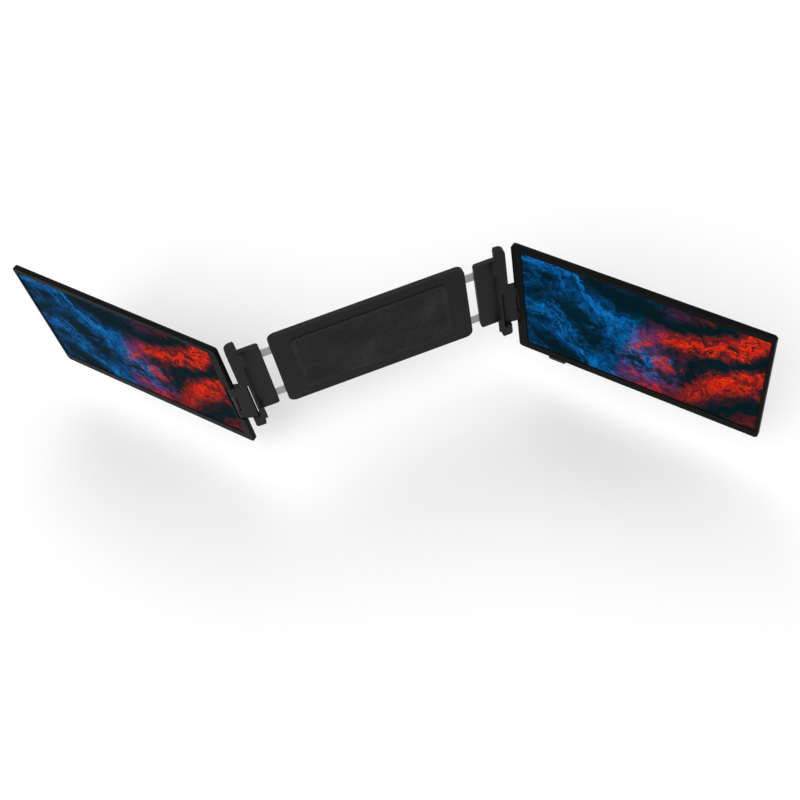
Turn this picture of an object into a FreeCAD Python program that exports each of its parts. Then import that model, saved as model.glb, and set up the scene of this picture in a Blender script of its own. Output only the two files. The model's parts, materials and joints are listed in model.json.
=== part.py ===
import FreeCAD, Part
import math
import os
from types import SimpleNamespace

# A two-wing screen extender: a hooked frame that slides to width, with a hinged screen on each side.
# X runs to the viewer's right, -Y towards the viewer, +Z up. Sizes are in millimetres.
# The origin is the middle of the lid pad's front face.

Vec = FreeCAD.Vector
RIGHT = Vec(1, 0, 0)
BACK = Vec(0, 1, 0)
UP = Vec(0, 0, 1)
ORIGIN = Vec(0, 0, 0)

# Room in the holder, and the liners round it
lid_width = 324.0
lid_thickness = 6.0
lid_side_play = 0.2
side_liner_thickness = 0.8
hook_liner_thickness = 0.3
liner_end_inset = 2.0
liner_tip_inset = 0.5

# Side arms
arm_height = 163.0
arm_web_width = 13.0
arm_web_back = 1.0
arm_top_corner = 9.0
arm_bottom_corner = 4.0
arm_edge_fillet = 1.0
hook_thickness = 1.2
hook_reach = 5.0
hook_height = 24.0
hook_corner = 2.0
hook_centres = (52.0, -58.0)
flange_width = 26.0
flange_height = 116.0
flange_front = 0.4
flange_back = 7.0
arm_cover_thickness = 1.0
arm_cover_margin = 1.0
arm_cover_corner = 3.0
arm_cover_rim = 0.5
arm_housing_margin = 3.0
arm_housing_corner = 3.0
arm_housing_inset = 0.5
arm_screw_setbacks = (5.0, 15.0)
arm_screw_bite = 1.4

# Slide rails
rail_thickness = 1.6
rail_height = 14.0
rail_centre_z = 40.0
rail_front = 3.4
rail_length = 103.0
rail_slack = 0.2
guide_length = 34.0
guide_wall = 2.5

# Centre plate
centre_side_gap = 37.0
centre_top = 64.0
centre_bottom = -66.0
centre_corner = 10.0
centre_front = 1.0
centre_skin = 1.4
centre_rim = 1.6
centre_seam = 4.2
centre_back = 7.4
pad_side_margin = 25.0
pad_top_margin = 16.0
pad_corner = 8.0
centre_post_radius = 2.6
centre_screw_side_inset = 11.0
centre_screw_end_inset = 8.0

# Kickstand
stand_half_width = 50.0
stand_reach = 117.0
stand_thickness = 2.6
stand_corner = 14.0
stand_rim = 0.6
stand_pin_radius = 1.2
stand_pin_setback = 1.0
stand_pin_y = 8.4
stand_knuckle_radius = 2.6
stand_knuckle_width = 16.0
stand_lug_width = 11.6
stand_drop = 3.4
stand_gap = 0.4
stand_face_offset = 0.3
stand_foot_height = 3.0
stand_foot_width = 60.0
stand_bush_wall = 0.65

# Hinge blocks
notch_low = -62.5
notch_high = 3.5
notch_wall = 3.0
block_play = 0.6
pin_spacing = 18.6
pin_radius = 1.5
pin_running_gap = 0.05
pin_clear_gap = 0.3
pin_seat = 10.0
sleeve_radius = 2.4
sleeve_length = 11.0
lug_radius = 3.2
lug_height = 31.0
lug_play = 0.4
lug_slot_gap = 0.8
block_low_corner = 7.0
block_high_corner = 1.5
block_screw_rise = 22.0
block_screw_floor = 1.2

# Screen wings
wing_thickness = 7.1
wing_top = 81.5
wing_corner = 5.0
wing_wall = 1.4
wing_front_skin = 1.0
wing_back_skin = 1.65
wing_front_fillet = 0.7
wing_back_fillet = 1.2
notch_gap = 0.6
screen_near_edge = 12.5
screen_far_edge = 4.1
screen_top_edge = 8.4
screen_bottom_edge = 12.6
screen_length = 309.4
screen_height = 174.0
panel_near_border = 0.7
panel_far_border = 2.0
panel_bottom_border = 5.2
panel_top_border = 2.8
panel_thickness = 1.1
backlight_thickness = 1.4
backlight_inset = 1.0
board_front = 0.5
board_thickness = 0.8
board_near = 70.0
board_length = 120.0
board_rise = 8.5
board_height = 49.5
vent_count = 14
vent_pitch = 3.2
vent_size = (1.2, 9.0)
vent_rise = 12.0
chip_height = 0.5
chip_sizes = ((16.0, 16.0), (10.0, 10.0), (12.0, 8.0))
chip_places = ((22.0, 17.5), (54.0, 11.5), (78.0, 27.5))
ribbon_place = 0.7 * board_length
ribbon_width = 32.0
ribbon_height = 28.0
ribbon_thickness = 0.2
button_board_thickness = 0.35
button_board_margin = 6.0
button_board_height = 10.0
bracket_thickness = 1.4
bracket_length = 30.0
bracket_height = 60.0
bracket_screw_near = 14.0
bracket_screw_pitch = 10.0
bracket_screw_rise = 24.0
bracket_head_height = 0.4
bracket_screw_bite = 0.7 * wing_back_skin
bracket_wall_gap = 0.4
bracket_leaf_gap = 0.1

# Ports and keys
port_depth = 6.6
port_wall = 0.3
port_slack = 0.15
port_centre_y = -0.2
port_recess = 0.3
tongue_setback = 1.5
usb_size = (8.9, 3.2)
usb_tongue = (6.6, 0.7)
usb_places = (84.0, 100.0)
hdmi_size = (11.2, 3.2)
hdmi_tongue = (8.0, 0.6)
hdmi_place = 118.0
key_radius = 2.9
key_flange = 0.7
key_slack = 0.15
key_proud = 0.3
key_floor_gap = 0.1
key_roof_gap = 0.05
key_rim_fillet = 0.25
key_travel = 0.5
key_rise = 22.0
key_far = 54.0
key_pitch = 12.0
rocker_place = 55.0
rocker_length = 24.0
rocker_proud = 4.8
rocker_depth = 3.6
rocker_cap_y = (-3.3, 1.8)
rocker_cap_gap = 0.8
rocker_cap_root = 0.5
rocker_end_slope = 2.0
rocker_slack = 0.35
rocker_pin_radius = 0.8
rocker_pin_rise = 0.6
rocker_neck_inset = 2.0
rocker_flange_reach = 1.2
rocker_flange_rise = (1.2, 2.0)
rocker_boss_width = 6.0
rocker_boss_gap = 0.2
rocker_boss_rise = 2.0
bumper_size = (8.0, 2.4)
bumper_proud = 0.4
bumper_near = 50.0
bumper_far = 25.5
bumper_depth = 0.5
bumper_corner = 0.6

# Fasteners
screw_radius = 1.0
screw_head_radius = 1.8
screw_head_height = 1.0

# The two sides differ in where their pins stand, so that the wings fold flat one over the other.
left = SimpleNamespace(
    name="left",
    pin_out=7.6,
    pin_y=-3.4,
    block_thickness=7.0,
    block_turn=-17.4,
    wing_turn=-49.6,
    pin_inset=6.0,
    pin_behind=0.0,
)
right = SimpleNamespace(
    name="right",
    pin_out=8.2,
    pin_y=1.2,
    block_thickness=8.4,
    block_turn=6.7,
    wing_turn=51.2,
    pin_inset=0.5,
    pin_behind=3.5,
)

# Places that follow from the sizes above
arm_front = -(lid_thickness + hook_liner_thickness + hook_thickness)
arm_inner = lid_width / 2 + lid_side_play + side_liner_thickness
centre_width = lid_width - 2 * centre_side_gap
wing_length = screen_near_edge + screen_length + screen_far_edge
key_near = wing_length - key_far
wing_height = screen_bottom_edge + screen_height + screen_top_edge
arm_outer = arm_inner + arm_web_width
notch_inner = arm_inner + notch_wall
rail_back = rail_front + rail_thickness
wing_bottom = wing_top - wing_height
wing_front = -wing_thickness / 2
wing_back = wing_thickness / 2
wing_seam = wing_back - wing_back_skin
panel_front = wing_front + wing_front_skin
panel_back = panel_front + panel_thickness
backlight_back = panel_back + backlight_thickness
block_low = notch_low + block_play
block_high = notch_high - block_play
lug_centre = (notch_low + notch_high) / 2
stand_pin_z = centre_bottom - stand_drop
for each_side in (left, right):
    each_side.pin_x = arm_inner + each_side.pin_out


def box(x, y, z):
    """A box between pairs of low and high faces."""
    return Part.makeBox(x[1] - x[0], y[1] - y[0], z[1] - z[0], Vec(x[0], y[0], z[0]))


def rod(radius, start, axis, length):
    """A cylinder from a centre point along an axis."""
    return Part.makeCylinder(radius, length, start, axis)


def ring(outer, inner, start, axis, length):
    """A round tube from a centre point along an axis."""
    return rod(outer, start, axis, length).cut(rod(inner, start, axis, length))


def joined(shapes):
    """One solid out of pieces that touch or overlap."""
    whole = shapes[0].multiFuse(shapes[1:]) if len(shapes) > 1 else shapes[0]
    return whole.removeSplitter()


def around(low_high, gap):
    """A pair of faces moved apart by a gap on each side."""
    return (low_high[0] - gap, low_high[1] + gap)


def centred(middle, size):
    """A pair of faces a size apart, with a given middle."""
    return (middle - size / 2, middle + size / 2)


def edges_along(shape, axis, wanted):
    """Straight edges parallel to an axis whose middle passes a test."""
    found = []
    for edge in shape.Edges:
        if not isinstance(edge.Curve, Part.Line):
            continue
        run = edge.Vertexes[-1].Point.sub(edge.Vertexes[0].Point)
        if abs(run.normalize().dot(axis)) > 0.999 and wanted(edge.CenterOfMass):
            found.append(edge)
    return found


def rim_edges(shape, y):
    """Edges that lie in the plane at one y."""
    flat = [e for e in shape.Edges if e.BoundBox.YLength < 0.001]
    return [e for e in flat if abs(e.BoundBox.YMin - y) < 0.001]


def rounded_box(x, y, z, radius):
    """A box whose four edges along Y are rounded."""
    plate = box(x, y, z)
    return plate.makeFillet(radius, edges_along(plate, BACK, lambda middle: True))


def slot_shape(centre_x, size, centre_y, z):
    """A bar with fully rounded ends in plan, standing along Z."""
    radius = size[1] / 2
    half = size[0] / 2 - radius
    middle = box((centre_x - half, centre_x + half), (centre_y - radius, centre_y + radius), z)
    ends = [rod(radius, Vec(centre_x + end, centre_y, z[0]), UP, z[1] - z[0]) for end in (-half, half)]
    return joined([middle] + ends)


def screw(head, axis, length, head_height=screw_head_height):
    """A flat-headed screw whose head's outer face is centred on a point, running along an axis."""
    cap = rod(screw_head_radius, head, axis, head_height)
    return joined([cap, rod(screw_radius, head, axis, length)])


def mirrored(shape, side):
    """Right-hand shapes stay, left-hand ones are mirrored across the middle."""
    return shape.mirror(ORIGIN, RIGHT) if side is left else shape


def save(name, solids):
    """Write one named piece, or a group of separate like pieces."""
    shapes = solids if isinstance(solids, list) else [solids]
    whole = shapes[0] if len(shapes) == 1 else Part.makeCompound(shapes)
    if not whole.isValid():
        print("not valid:", name)
    print(name, len(whole.Solids), "solids", round(whole.Volume / 1000, 2), "cm3")
    whole.exportStep("parts/" + name + ".step")


# Centre plate

def centre_outline(y):
    """The outline of the centre plate between two y faces."""
    half = centre_width / 2
    return rounded_box((-half, half), y, (centre_bottom, centre_top), centre_corner)


def centre_hollow(y):
    """The space inside the centre plate's rim."""
    half = centre_width / 2 - centre_rim
    z = (centre_bottom + centre_rim, centre_top - centre_rim)
    return rounded_box((-half, half), y, z, centre_corner - centre_rim)


def rail_windows():
    """Openings in the rim that the rails run through."""
    half = centre_width / 2
    y = around((rail_front, rail_back), rail_slack)
    windows = []
    for sign in (-1, 1):
        z = around(centred(sign * rail_centre_z, rail_height), rail_slack)
        windows.append(box((-half - 1, half + 1), y, z))
    return windows


def centre_screw_heads():
    """Points flush in the centre plate's back for its screws: three near its top, three near its bottom."""
    side = centre_width / 2 - centre_screw_side_inset
    rows = (centre_top - centre_screw_end_inset, centre_bottom + centre_screw_end_inset)
    return [Vec(x, centre_back, z) for z in rows for x in (-side, 0, side)]


def centre_screw_length():
    """From the back face to just short of the front skin's outer face."""
    return centre_back - centre_front - centre_skin / 2


def centre_half(y_skin, y_rim, y_post):
    """One half-shell of the centre plate, with its screw posts."""
    y_all = (min(y_skin[0], y_rim[0]), max(y_skin[1], y_rim[1]))
    shell = centre_outline(y_all).cut(centre_hollow(y_rim))
    posts = [rod(centre_post_radius, Vec(head.x, y_post[0], head.z), BACK, y_post[1] - y_post[0])
             for head in centre_screw_heads()]
    shell = joined([shell] + posts)
    shell = shell.cut(rail_windows())
    return shell.cut([screw(head, -BACK, centre_screw_length()) for head in centre_screw_heads()])


def centre_front_cover():
    """The front half-shell, which carries the lid pad."""
    y_rim = (centre_front + centre_skin, centre_seam)
    return centre_half((centre_front, centre_front + centre_skin), y_rim, y_rim)


def stand_lug_spans():
    """The x spans of the two lugs that hold the kickstand's pins."""
    outer = stand_half_width - stand_knuckle_width - stand_gap
    return [(-outer, -outer + stand_lug_width), (outer - stand_lug_width, outer)]


def centre_back_cover():
    """The back half-shell, with two lugs below it for the kickstand."""
    y_rim = (centre_seam, centre_back - centre_skin)
    shell = centre_half((centre_back - centre_skin, centre_back), y_rim, y_rim)
    pieces = [shell]
    for x in stand_lug_spans():
        pin_start = Vec(x[0], stand_pin_y, stand_pin_z)
        pieces.append(rod(stand_knuckle_radius, pin_start, RIGHT, stand_lug_width))
        y = (stand_pin_y - stand_knuckle_radius, centre_back)
        pieces.append(box(x, y, (stand_pin_z, centre_bottom + 1)))
    return joined(pieces).cut(stand_pins())


def stand_pins():
    """Two short pins, each held in a lug and reaching into a knuckle of the kickstand."""
    pins = []
    for sign, lug in zip((-1, 1), stand_lug_spans()):
        inner = min(abs(lug[0]), abs(lug[1]))
        start = Vec(sign * inner, stand_pin_y, stand_pin_z)
        pins.append(rod(stand_pin_radius, start, RIGHT * sign, stand_half_width - inner - stand_pin_setback))
    return pins


def rail_guides():
    """Four nylon sleeves that the rails slide in."""
    guides = []
    outer = centre_width / 2 - centre_rim
    for side_sign in (-1, 1):
        x = sorted((side_sign * outer, side_sign * (outer - guide_length)))
        for sign in (-1, 1):
            z_rail = around(centred(sign * rail_centre_z, rail_height), rail_slack)
            body = box(x, (centre_front + centre_skin, centre_back - centre_skin), around(z_rail, guide_wall))
            passage = box(around(x, 1), around((rail_front, rail_back), rail_slack), z_rail)
            guides.append(body.cut(passage))
    return guides


def lid_pad():
    """The soft pad on the front of the centre plate."""
    half_width = centre_width / 2 - pad_side_margin
    half_height = centre_top - pad_top_margin
    return rounded_box((-half_width, half_width), (0, centre_front), (-half_height, half_height), pad_corner)


# Kickstand

def stand_knuckle_spans():
    """The x spans of the kickstand's two knuckles."""
    inner = stand_half_width - stand_knuckle_width
    return [(-stand_half_width, -inner), (inner, stand_half_width)]


def stand_bushes():
    """Friction bushes pressed into the knuckles."""
    bushes = []
    for x in stand_knuckle_spans():
        start = Vec(x[0], stand_pin_y, stand_pin_z)
        outer = stand_pin_radius + stand_bush_wall
        bushes.append(ring(outer, stand_pin_radius + pin_running_gap, start, RIGHT, stand_knuckle_width))
    return bushes


def stand_plate():
    """The flat leg, stowed pointing up behind the centre plate."""
    y = (stand_pin_y - stand_face_offset, stand_pin_y - stand_face_offset + stand_thickness)
    top = stand_pin_z + stand_reach
    plate = box((-stand_half_width, stand_half_width), y, (stand_pin_z, top))
    plate = plate.makeFillet(stand_corner, edges_along(plate, BACK, lambda middle: middle.z > top - 1))
    back_rim = [e for e in rim_edges(plate, y[1]) if e.CenterOfMass.z > stand_pin_z + 1]
    plate = plate.makeFillet(stand_rim, back_rim)
    inner = stand_half_width - stand_knuckle_width
    cleared = stand_pin_z + stand_knuckle_radius + stand_gap + 1
    plate = plate.cut(box((-inner, inner), around(y, 1), (stand_pin_z - 1, cleared)))
    bushes_outer = stand_pin_radius + stand_bush_wall
    pieces = [plate]
    bores = []
    for x in stand_knuckle_spans():
        start = Vec(x[0], stand_pin_y, stand_pin_z)
        pieces.append(rod(stand_knuckle_radius, start, RIGHT, stand_knuckle_width))
        bores.append(rod(bushes_outer, start, RIGHT, stand_knuckle_width))
    return joined(pieces).cut(bores)


def stand_foot():
    """The rubber tip along the kickstand's free edge."""
    top = stand_pin_z + stand_reach
    y = (stand_pin_y - stand_face_offset, stand_pin_y - stand_face_offset + stand_thickness)
    half = stand_foot_width / 2
    tip = box((-half, half), y, (top, top + stand_foot_height))
    tip_edges = edges_along(tip, RIGHT, lambda middle: middle.z > top + 1)
    return tip.makeFillet(stand_thickness / 2 - 0.1, tip_edges)


# Side arms

def arm_rail(centre_z):
    """One steel rail, from its socket in the arm into the centre plate."""
    x = (arm_inner - rail_length, arm_inner)
    return box(x, (rail_front, rail_back), centred(centre_z, rail_height))


def arm_rails():
    """The arm's upper and lower rails."""
    return [arm_rail(rail_centre_z), arm_rail(-rail_centre_z)]


def drilled_rails():
    """The rails with the holes that their screws pass through."""
    return [rail.cut(arm_screws()) for rail in arm_rails()]


def arm_screw_heads():
    """Points where the screws that hold the rails sit flush in the flange's back."""
    places = []
    for centre_z in (rail_centre_z, -rail_centre_z):
        for inward in arm_screw_setbacks:
            places.append(Vec(arm_inner - inward, flange_back, centre_z))
    return places


def arm_screws():
    """The screws that hold the rails."""
    return [screw(head, -BACK, flange_back - rail_front + arm_screw_bite) for head in arm_screw_heads()]


def frame_pin(side):
    """The upright pin that the hinge block turns on."""
    bottom = notch_low - pin_seat
    return rod(pin_radius, Vec(side.pin_x, side.pin_y, bottom), UP, notch_high + pin_seat - bottom)


def arm_body(side):
    """The side bar with its hooks, its hinge notch and the flange that holds the rails."""
    web = box((arm_inner, arm_outer), (arm_front, arm_web_back), centred(0, arm_height))
    top_corner = edges_along(web, BACK, lambda middle: middle.x > arm_outer - 1 and middle.z > 0)
    web = web.makeFillet(arm_top_corner, top_corner)
    low_corner = edges_along(web, BACK, lambda middle: middle.x > arm_outer - 1 and middle.z < 0)
    web = web.makeFillet(arm_bottom_corner, low_corner)
    front_edges = [e for e in rim_edges(web, arm_front) if e.CenterOfMass.x > arm_inner + 1]
    web = web.makeFillet(arm_edge_fillet, front_edges)
    flange_end = notch_inner - block_play
    flange_x = (arm_inner - flange_width, flange_end)
    flange = box(flange_x, (flange_front, flange_back), centred(0, flange_height))
    inner_corners = edges_along(flange, BACK, lambda middle: middle.x < arm_inner - 1)
    flange = flange.makeFillet(arm_cover_corner + arm_cover_margin, inner_corners)
    back_rim = [e for e in rim_edges(flange, flange_back) if e.CenterOfMass.x < flange_end - 0.1]
    flange = flange.makeFillet(arm_cover_rim, back_rim)
    pieces = [web, flange]
    for centre in hook_centres:
        x = (arm_inner - hook_reach, arm_inner + 1)
        hook = box(x, (arm_front, arm_front + hook_thickness), centred(centre, hook_height))
        tip = edges_along(hook, BACK, lambda middle: middle.x < arm_inner - hook_reach + 1)
        pieces.append(hook.makeFillet(hook_corner, tip))
    housing_back = side.pin_y + side.block_thickness / 2
    if housing_back > arm_web_back:
        z = around((notch_low - pin_seat, notch_high + pin_seat), arm_housing_margin)
        housing = box((flange_end, arm_outer - arm_housing_inset), (0, housing_back), z)
        back_corner = edges_along(housing, UP, lambda middle: middle.x > arm_outer - 1 and middle.y > 1)
        pieces.append(housing.makeFillet(arm_housing_corner, back_corner))
    body = joined(pieces)
    notch = box((notch_inner, arm_outer + 1), (arm_front - 1, flange_back + 1), (notch_low, notch_high))
    body = body.cut(notch)
    for rail in arm_rails():
        body = body.cut(rail)
    return body.cut(arm_screws() + [frame_pin(side)])


def arm_cover():
    """The cap over the flange's back."""
    x = (arm_inner - flange_width + arm_cover_margin, arm_inner)
    z = around(centred(0, flange_height), -arm_cover_margin)
    back = flange_back + arm_cover_thickness
    cover = rounded_box(x, (flange_back, back), z, arm_cover_corner)
    return cover.makeFillet(arm_cover_rim, rim_edges(cover, back))


def lid_liners():
    """Rubber strips on the side bar's inner face and behind its hooks."""
    side_strip_z = around(centred(0, arm_height), -liner_end_inset)
    strips = [box((arm_inner - side_liner_thickness, arm_inner), (-lid_thickness, 0), side_strip_z)]
    y = (arm_front + hook_thickness, -lid_thickness)
    for centre in hook_centres:
        x = (arm_inner - hook_reach + liner_tip_inset, arm_inner - side_liner_thickness)
        strips.append(box(x, y, around(centred(centre, hook_height), -liner_end_inset)))
    return strips


# Hinge blocks, drawn with the frame pin at the origin and the screen pin along +X

def block_outline(side):
    """The whole block with its two round ends and its slot for the wing's lug."""
    half = side.block_thickness / 2
    height = block_high - block_low
    slab = box((0, pin_spacing), (-half, half), (block_low, block_high))
    ends = [rod(half, Vec(x, 0, block_low), UP, height) for x in (0, pin_spacing)]
    whole = joined([slab] + ends)
    trim = box((-half, pin_spacing + half), (-half, half), (block_low, block_high))
    low_edge = edges_along(trim, BACK, lambda m: m.x > pin_spacing and m.z < lug_centre)
    trim = trim.makeFillet(block_low_corner, low_edge)
    high_edge = edges_along(trim, BACK, lambda m: m.x > pin_spacing and m.z > lug_centre)
    trim = trim.makeFillet(block_high_corner, high_edge)
    slot_x = (pin_spacing - lug_radius - lug_slot_gap, pin_spacing + half + 1)
    slot = box(slot_x, around((-half, half), 1), centred(lug_centre, lug_height))
    return whole.common(trim).cut(slot)


def block_sleeves():
    """Friction sleeves: two round the frame pin and two round the screen pin."""
    lug_half = lug_height / 2
    starts = (
        Vec(0, 0, block_low),
        Vec(0, 0, block_high - sleeve_length),
        Vec(pin_spacing, 0, lug_centre - lug_half - sleeve_length),
        Vec(pin_spacing, 0, lug_centre + lug_half),
    )
    return [ring(sleeve_radius, pin_radius + pin_running_gap, start, UP, sleeve_length) for start in starts]


def block_screws(side):
    """Two screws that hold the block's halves together."""
    half = side.block_thickness / 2
    heads = [Vec(pin_spacing / 2, half, lug_centre + rise) for rise in (-block_screw_rise, block_screw_rise)]
    return [screw(head, -BACK, side.block_thickness - block_screw_floor) for head in heads]


def block_halves(side):
    """The block's front and back halves, bored for the pins, sleeves and screws."""
    lug_half = lug_height / 2
    bores = block_screws(side)
    bores.append(rod(pin_radius + pin_clear_gap, Vec(0, 0, block_low - 1), UP, block_high - block_low + 2))
    screen_bore_low = lug_centre - lug_half - sleeve_length
    bore_height = lug_height + 2 * sleeve_length
    bores.append(rod(sleeve_radius, Vec(pin_spacing, 0, screen_bore_low), UP, bore_height))
    bores.append(rod(sleeve_radius, Vec(0, 0, block_low), UP, sleeve_length))
    bores.append(rod(sleeve_radius, Vec(0, 0, block_high - sleeve_length), UP, sleeve_length))
    whole = block_outline(side).cut(bores)
    reach = side.block_thickness
    x = (-reach, pin_spacing + reach)
    z = (block_low - 1, block_high + 1)
    return whole.common(box(x, (-reach, 0), z)), whole.common(box(x, (0, reach), z))


# Screen wings, drawn from the near edge outwards along +X, with the middle of their thickness at y 0

def notch_depth(side):
    """How far the hinge notch reaches into the wing."""
    return side.pin_inset + side.block_thickness / 2 + notch_gap


def notch_space(side, wall):
    """The notch, grown by a wall's thickness."""
    z = around((notch_low, notch_high), wall)
    return box((-1, notch_depth(side) + wall), (wing_front - 1, wing_back + 1), z)


def wing_outline(side, y):
    """The wing's outline between two y faces, with its hinge notch."""
    plate = rounded_box((0, wing_length), y, (wing_bottom, wing_top), wing_corner)
    return plate.cut(notch_space(side, 0))


def wing_hollow(side, y):
    """The space inside the wing's walls."""
    x = (wing_wall, wing_length - wing_wall)
    z = (wing_bottom + wing_wall, wing_top - wing_wall)
    return rounded_box(x, y, z, wing_corner - wing_wall).cut(notch_space(side, wing_wall))


def screen_window():
    """The opening of the bezel in front of the lit area."""
    low = wing_bottom + screen_bottom_edge
    x = (screen_near_edge, screen_near_edge + screen_length)
    return box(x, (wing_front - 1, panel_front + 1), (low, low + screen_height))


def usb_shapes(grow):
    """The outer shapes of the two reversible sockets, grown by a gap."""
    size = (usb_size[0] + 2 * grow, usb_size[1] + 2 * grow)
    z = (wing_bottom - grow * 10, wing_bottom + port_depth)
    return [slot_shape(x, size, port_centre_y, z) for x in usb_places]


def hdmi_shape(grow):
    """The outer shape of the small video socket, grown by a gap."""
    x = around(centred(hdmi_place, hdmi_size[0]), grow)
    y = around(centred(port_centre_y, hdmi_size[1]), grow)
    return box(x, y, (wing_bottom - grow * 10, wing_bottom + port_depth))


def port_parts(outer, cavity, place, tongue_size, floor_z):
    """A socket shell with a contact tongue fixed to its closed end, set back from the wing's edge."""
    z = (wing_bottom + tongue_setback, floor_z + 0.1)
    tongue = box(centred(place, tongue_size[0]), centred(port_centre_y, tongue_size[1]), z)
    whole = joined([outer.cut(cavity), tongue])
    return whole.common(box((0, wing_length), (wing_front, wing_back), (wing_bottom + port_recess, 0)))


def usb_ports():
    """The two reversible sockets."""
    floor_z = wing_bottom + port_depth - port_wall
    inner_size = (usb_size[0] - 2 * port_wall, usb_size[1] - 2 * port_wall)
    ports = []
    for outer, place in zip(usb_shapes(0), usb_places):
        cavity = slot_shape(place, inner_size, port_centre_y, (wing_bottom - 1, floor_z))
        ports.append(port_parts(outer, cavity, place, usb_tongue, floor_z))
    return ports


def hdmi_port():
    """The small video socket."""
    floor_z = wing_bottom + port_depth - port_wall
    x = around(centred(hdmi_place, hdmi_size[0]), -port_wall)
    y = around(centred(port_centre_y, hdmi_size[1]), -port_wall)
    cavity = box(x, y, (wing_bottom - 1, floor_z))
    return port_parts(hdmi_shape(0), cavity, hdmi_place, hdmi_tongue, floor_z)


def bracket_leaf_window(side):
    """The opening in the notch's wall that the hinge bracket's leaf passes through."""
    x = (side.pin_inset, notch_depth(side) + wing_wall + 1)
    return box(x, (board_front - bracket_leaf_gap, wing_seam), centred(lug_centre, lug_height))


def bezel(side):
    """The front shell of a wing: the frame round the screen and the side walls."""
    shell = wing_outline(side, (wing_front, wing_seam))
    outer_rim = [e for e in rim_edges(shell, wing_front) if not near_notch(side, e)]
    shell = shell.makeFillet(wing_front_fillet, outer_rim)
    shell = shell.cut(wing_hollow(side, (panel_front, wing_seam + 1)))
    shell = shell.cut([screen_window(), bracket_leaf_window(side)])
    shell = shell.cut(usb_shapes(port_slack) + [hdmi_shape(port_slack)])
    if side is right:
        shell = shell.cut([rocker_slot(), rocker_pin()])
        shell = joined([shell, rocker_boss()]).cut([rocker_pin(), rocker_slot()])
    if side is left:
        shell = shell.cut(bumpers())
    return shell


def near_notch(side, edge):
    """Whether an edge belongs to the hinge notch."""
    middle = edge.CenterOfMass
    return middle.x < notch_depth(side) + 0.1 and notch_low - 0.1 < middle.z < notch_high + 0.1


def vents():
    """The row of air slots behind the circuit board."""
    start = board_near + (board_length - vent_pitch * (vent_count - 1)) / 2
    low = wing_bottom + board_rise + vent_rise
    slots = []
    for number in range(vent_count):
        x = centred(start + vent_pitch * number, vent_size[0])
        corner = vent_size[0] / 2 - 0.01
        slots.append(rounded_box(x, (wing_seam - 1, wing_back + 1), (low, low + vent_size[1]), corner))
    return slots


def back_cover(side):
    """The back shell of a wing, with its air slots and key holes."""
    plate = wing_outline(side, (wing_seam, wing_back))
    outer_rim = [e for e in rim_edges(plate, wing_back) if not near_notch(side, e)]
    plate = plate.makeFillet(wing_back_fillet, outer_rim)
    hole_radius = key_radius + key_slack
    holes = [rod(hole_radius, Vec(x, 0, key_height()), BACK, wing_thickness) for x in key_places(side)]
    return plate.cut(holes + vents() + bracket_screws(side))


def display_panel():
    """The liquid-crystal glass."""
    x = (screen_near_edge - panel_near_border, screen_near_edge + screen_length + panel_far_border)
    low = wing_bottom + screen_bottom_edge
    z = (low - panel_bottom_border, low + screen_height + panel_top_border)
    return box(x, (panel_front, panel_back), z)


def backlight():
    """The light guide behind the glass."""
    x = (screen_near_edge - panel_near_border, screen_near_edge + screen_length + panel_far_border)
    low = wing_bottom + screen_bottom_edge
    z = (low - panel_bottom_border, low + screen_height + panel_top_border)
    return box(around(x, -backlight_inset), (panel_back, backlight_back), around(z, -backlight_inset))


def driver_board():
    """The circuit board behind the light guide, with its larger chips."""
    y = (board_front, board_front + board_thickness)
    low = wing_bottom + board_rise
    board = box((board_near, board_near + board_length), y, (low, low + board_height))
    chips = []
    for (width, height), (along, up) in zip(chip_sizes, chip_places):
        x = (board_near + along, board_near + along + width)
        chips.append(box(x, (y[1], y[1] + chip_height), (low + up, low + up + height)))
    return joined([board] + chips)


def panel_flex():
    """The flat ribbon between the light guide and the circuit board."""
    low = wing_bottom + board_rise
    x = centred(board_near + ribbon_place, ribbon_width)
    return box(x, (backlight_back, backlight_back + ribbon_thickness), (low, low + ribbon_height))


def button_board(side):
    """The small board under the keys."""
    places = key_places(side)
    x = around((min(places), max(places)), button_board_margin)
    z = centred(key_height(), button_board_height)
    return box(x, (backlight_back, backlight_back + button_board_thickness), z)


def bracket_screws(side):
    """Screws that hold the hinge bracket to the back cover."""
    start = side.pin_inset + bracket_screw_near
    head_y = board_front - bracket_head_height
    length = wing_seam + bracket_screw_bite - head_y
    screws = []
    for x in (start, start + bracket_screw_pitch):
        for rise in (-bracket_screw_rise, bracket_screw_rise):
            screws.append(screw(Vec(x, head_y, lug_centre + rise), BACK, length, bracket_head_height))
    return screws


def hinge_bracket(side):
    """The steel bracket in a wing: a barrel round the screen pin and a leaf fixed inside."""
    half = lug_height / 2 - lug_play
    barrel_start = Vec(side.pin_inset, side.pin_behind, lug_centre - half)
    y = (board_front, board_front + bracket_thickness)
    wide_start = notch_depth(side) + wing_wall + bracket_wall_gap
    leaf = box((side.pin_inset, wide_start + 1), y, (lug_centre - half, lug_centre + half))
    wide_x = (wide_start, side.pin_inset + bracket_length)
    wide = box(wide_x, y, centred(lug_centre, bracket_height))
    whole = joined([rod(lug_radius, barrel_start, UP, 2 * half), leaf, wide])
    return whole.cut(bracket_screws(side) + [screen_pin(side)])


def screen_pin(side):
    """The upright pin that the wing turns on."""
    half = lug_height / 2 + sleeve_length
    return rod(pin_radius, Vec(side.pin_inset, side.pin_behind, lug_centre - half), UP, 2 * half)


def key_places(side):
    """Distances of the keys from the wing's near edge: power alone, or power, plus and minus."""
    count = 3 if side is left else 1
    return [key_near + key_pitch * step for step in range(count)]


def key_height():
    """The height of the row of keys."""
    return wing_bottom + key_rise


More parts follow.
